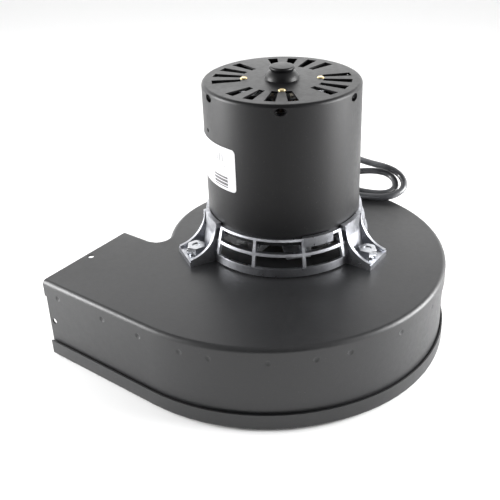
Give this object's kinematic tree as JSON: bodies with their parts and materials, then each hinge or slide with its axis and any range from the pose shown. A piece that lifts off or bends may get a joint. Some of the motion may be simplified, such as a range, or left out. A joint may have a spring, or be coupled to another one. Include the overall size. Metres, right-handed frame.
{
  "type": "combustion fan",
  "caption": "Combustion fan: scroll housing with side outlet and round inlet, shaded-pole motor on a cast bracket, cooling fan, blower wheel, lead cable with plug.",
  "frame": {"origin": "centre of the air inlet, on the motor axis, in the bottom face of the back plate", "axes": "+Z along the motor axis from the inlet to the motor's end cap, -X out of the outlet, -Y towards the scroll's long straight wall"},
  "size_m": [0.175, 0.1963, 0.1462],
  "materials": {
    "black_paint": "satin black paint on steel sheet",
    "cast_aluminium": "die-cast, lightly tumbled",
    "zinc_steel": "zinc-plated steel",
    "ground_steel": "ground steel",
    "bronze": "oiled porous bronze",
    "brass": "plain brass",
    "copper_wire": "enamelled copper",
    "lamination": "stacked electrical steel, varnished",
    "felt": "oil-soaked wool felt",
    "nylon": "moulded natural nylon",
    "label_film": "white printed film",
    "black_rubber": "soft moulded rubber",
    "cable_sleeve": "glossy extruded vinyl sleeve",
    "fibre": "pressed fibre",
    "sheet_aluminium": "bare rolled sheet",
    "dark_steel": "black oxide"
  },
  "bodies": {
    "blower": {"back_plate": "black_paint", "scroll_band": "black_paint", "cover": "black_paint", "bracket_studs": "zinc_steel", "motor_bracket": "cast_aluminium", "lock_washers": "zinc_steel", "bracket_nuts": "zinc_steel", "motor_shell": "black_paint", "end_cap": "black_paint", "bearing_cap": "black_paint", "upper_bearing": "bronze", "upper_felt": "felt", "upper_retainer": "zinc_steel", "retainer_rivets": "brass", "lower_bearing": "bronze", "lower_felt": "felt", "lower_retainer": "zinc_steel", "stator_core": "lamination", "coil_bobbins": "fibre", "pole_coils": "copper_wire", "shading_rings": "copper_wire", "rating_label": "label_film", "lead_grommet": "black_rubber", "lead_cable": "cable_sleeve", "plug_housing": "nylon", "plug_contacts": "brass"},
    "rotor": {"shaft": "ground_steel", "rotor_core": "lamination", "rotor_end_rings": "cast_aluminium", "thrust_washers": "fibre", "fan_hub": "brass", "cooling_fan": "sheet_aluminium", "wheel_hub": "zinc_steel", "hub_set_screw": "dark_steel", "wheel_disc": "sheet_aluminium", "wheel_blades": "sheet_aluminium", "wheel_rim": "sheet_aluminium"}
  },
  "joints": [
    {"name": "rotor_spin", "type": "hinge", "parent": "blower", "child": "rotor", "pos_m": [0, 0, 0.039], "axis": [0, 0, 1], "continuous": true}
  ]
}
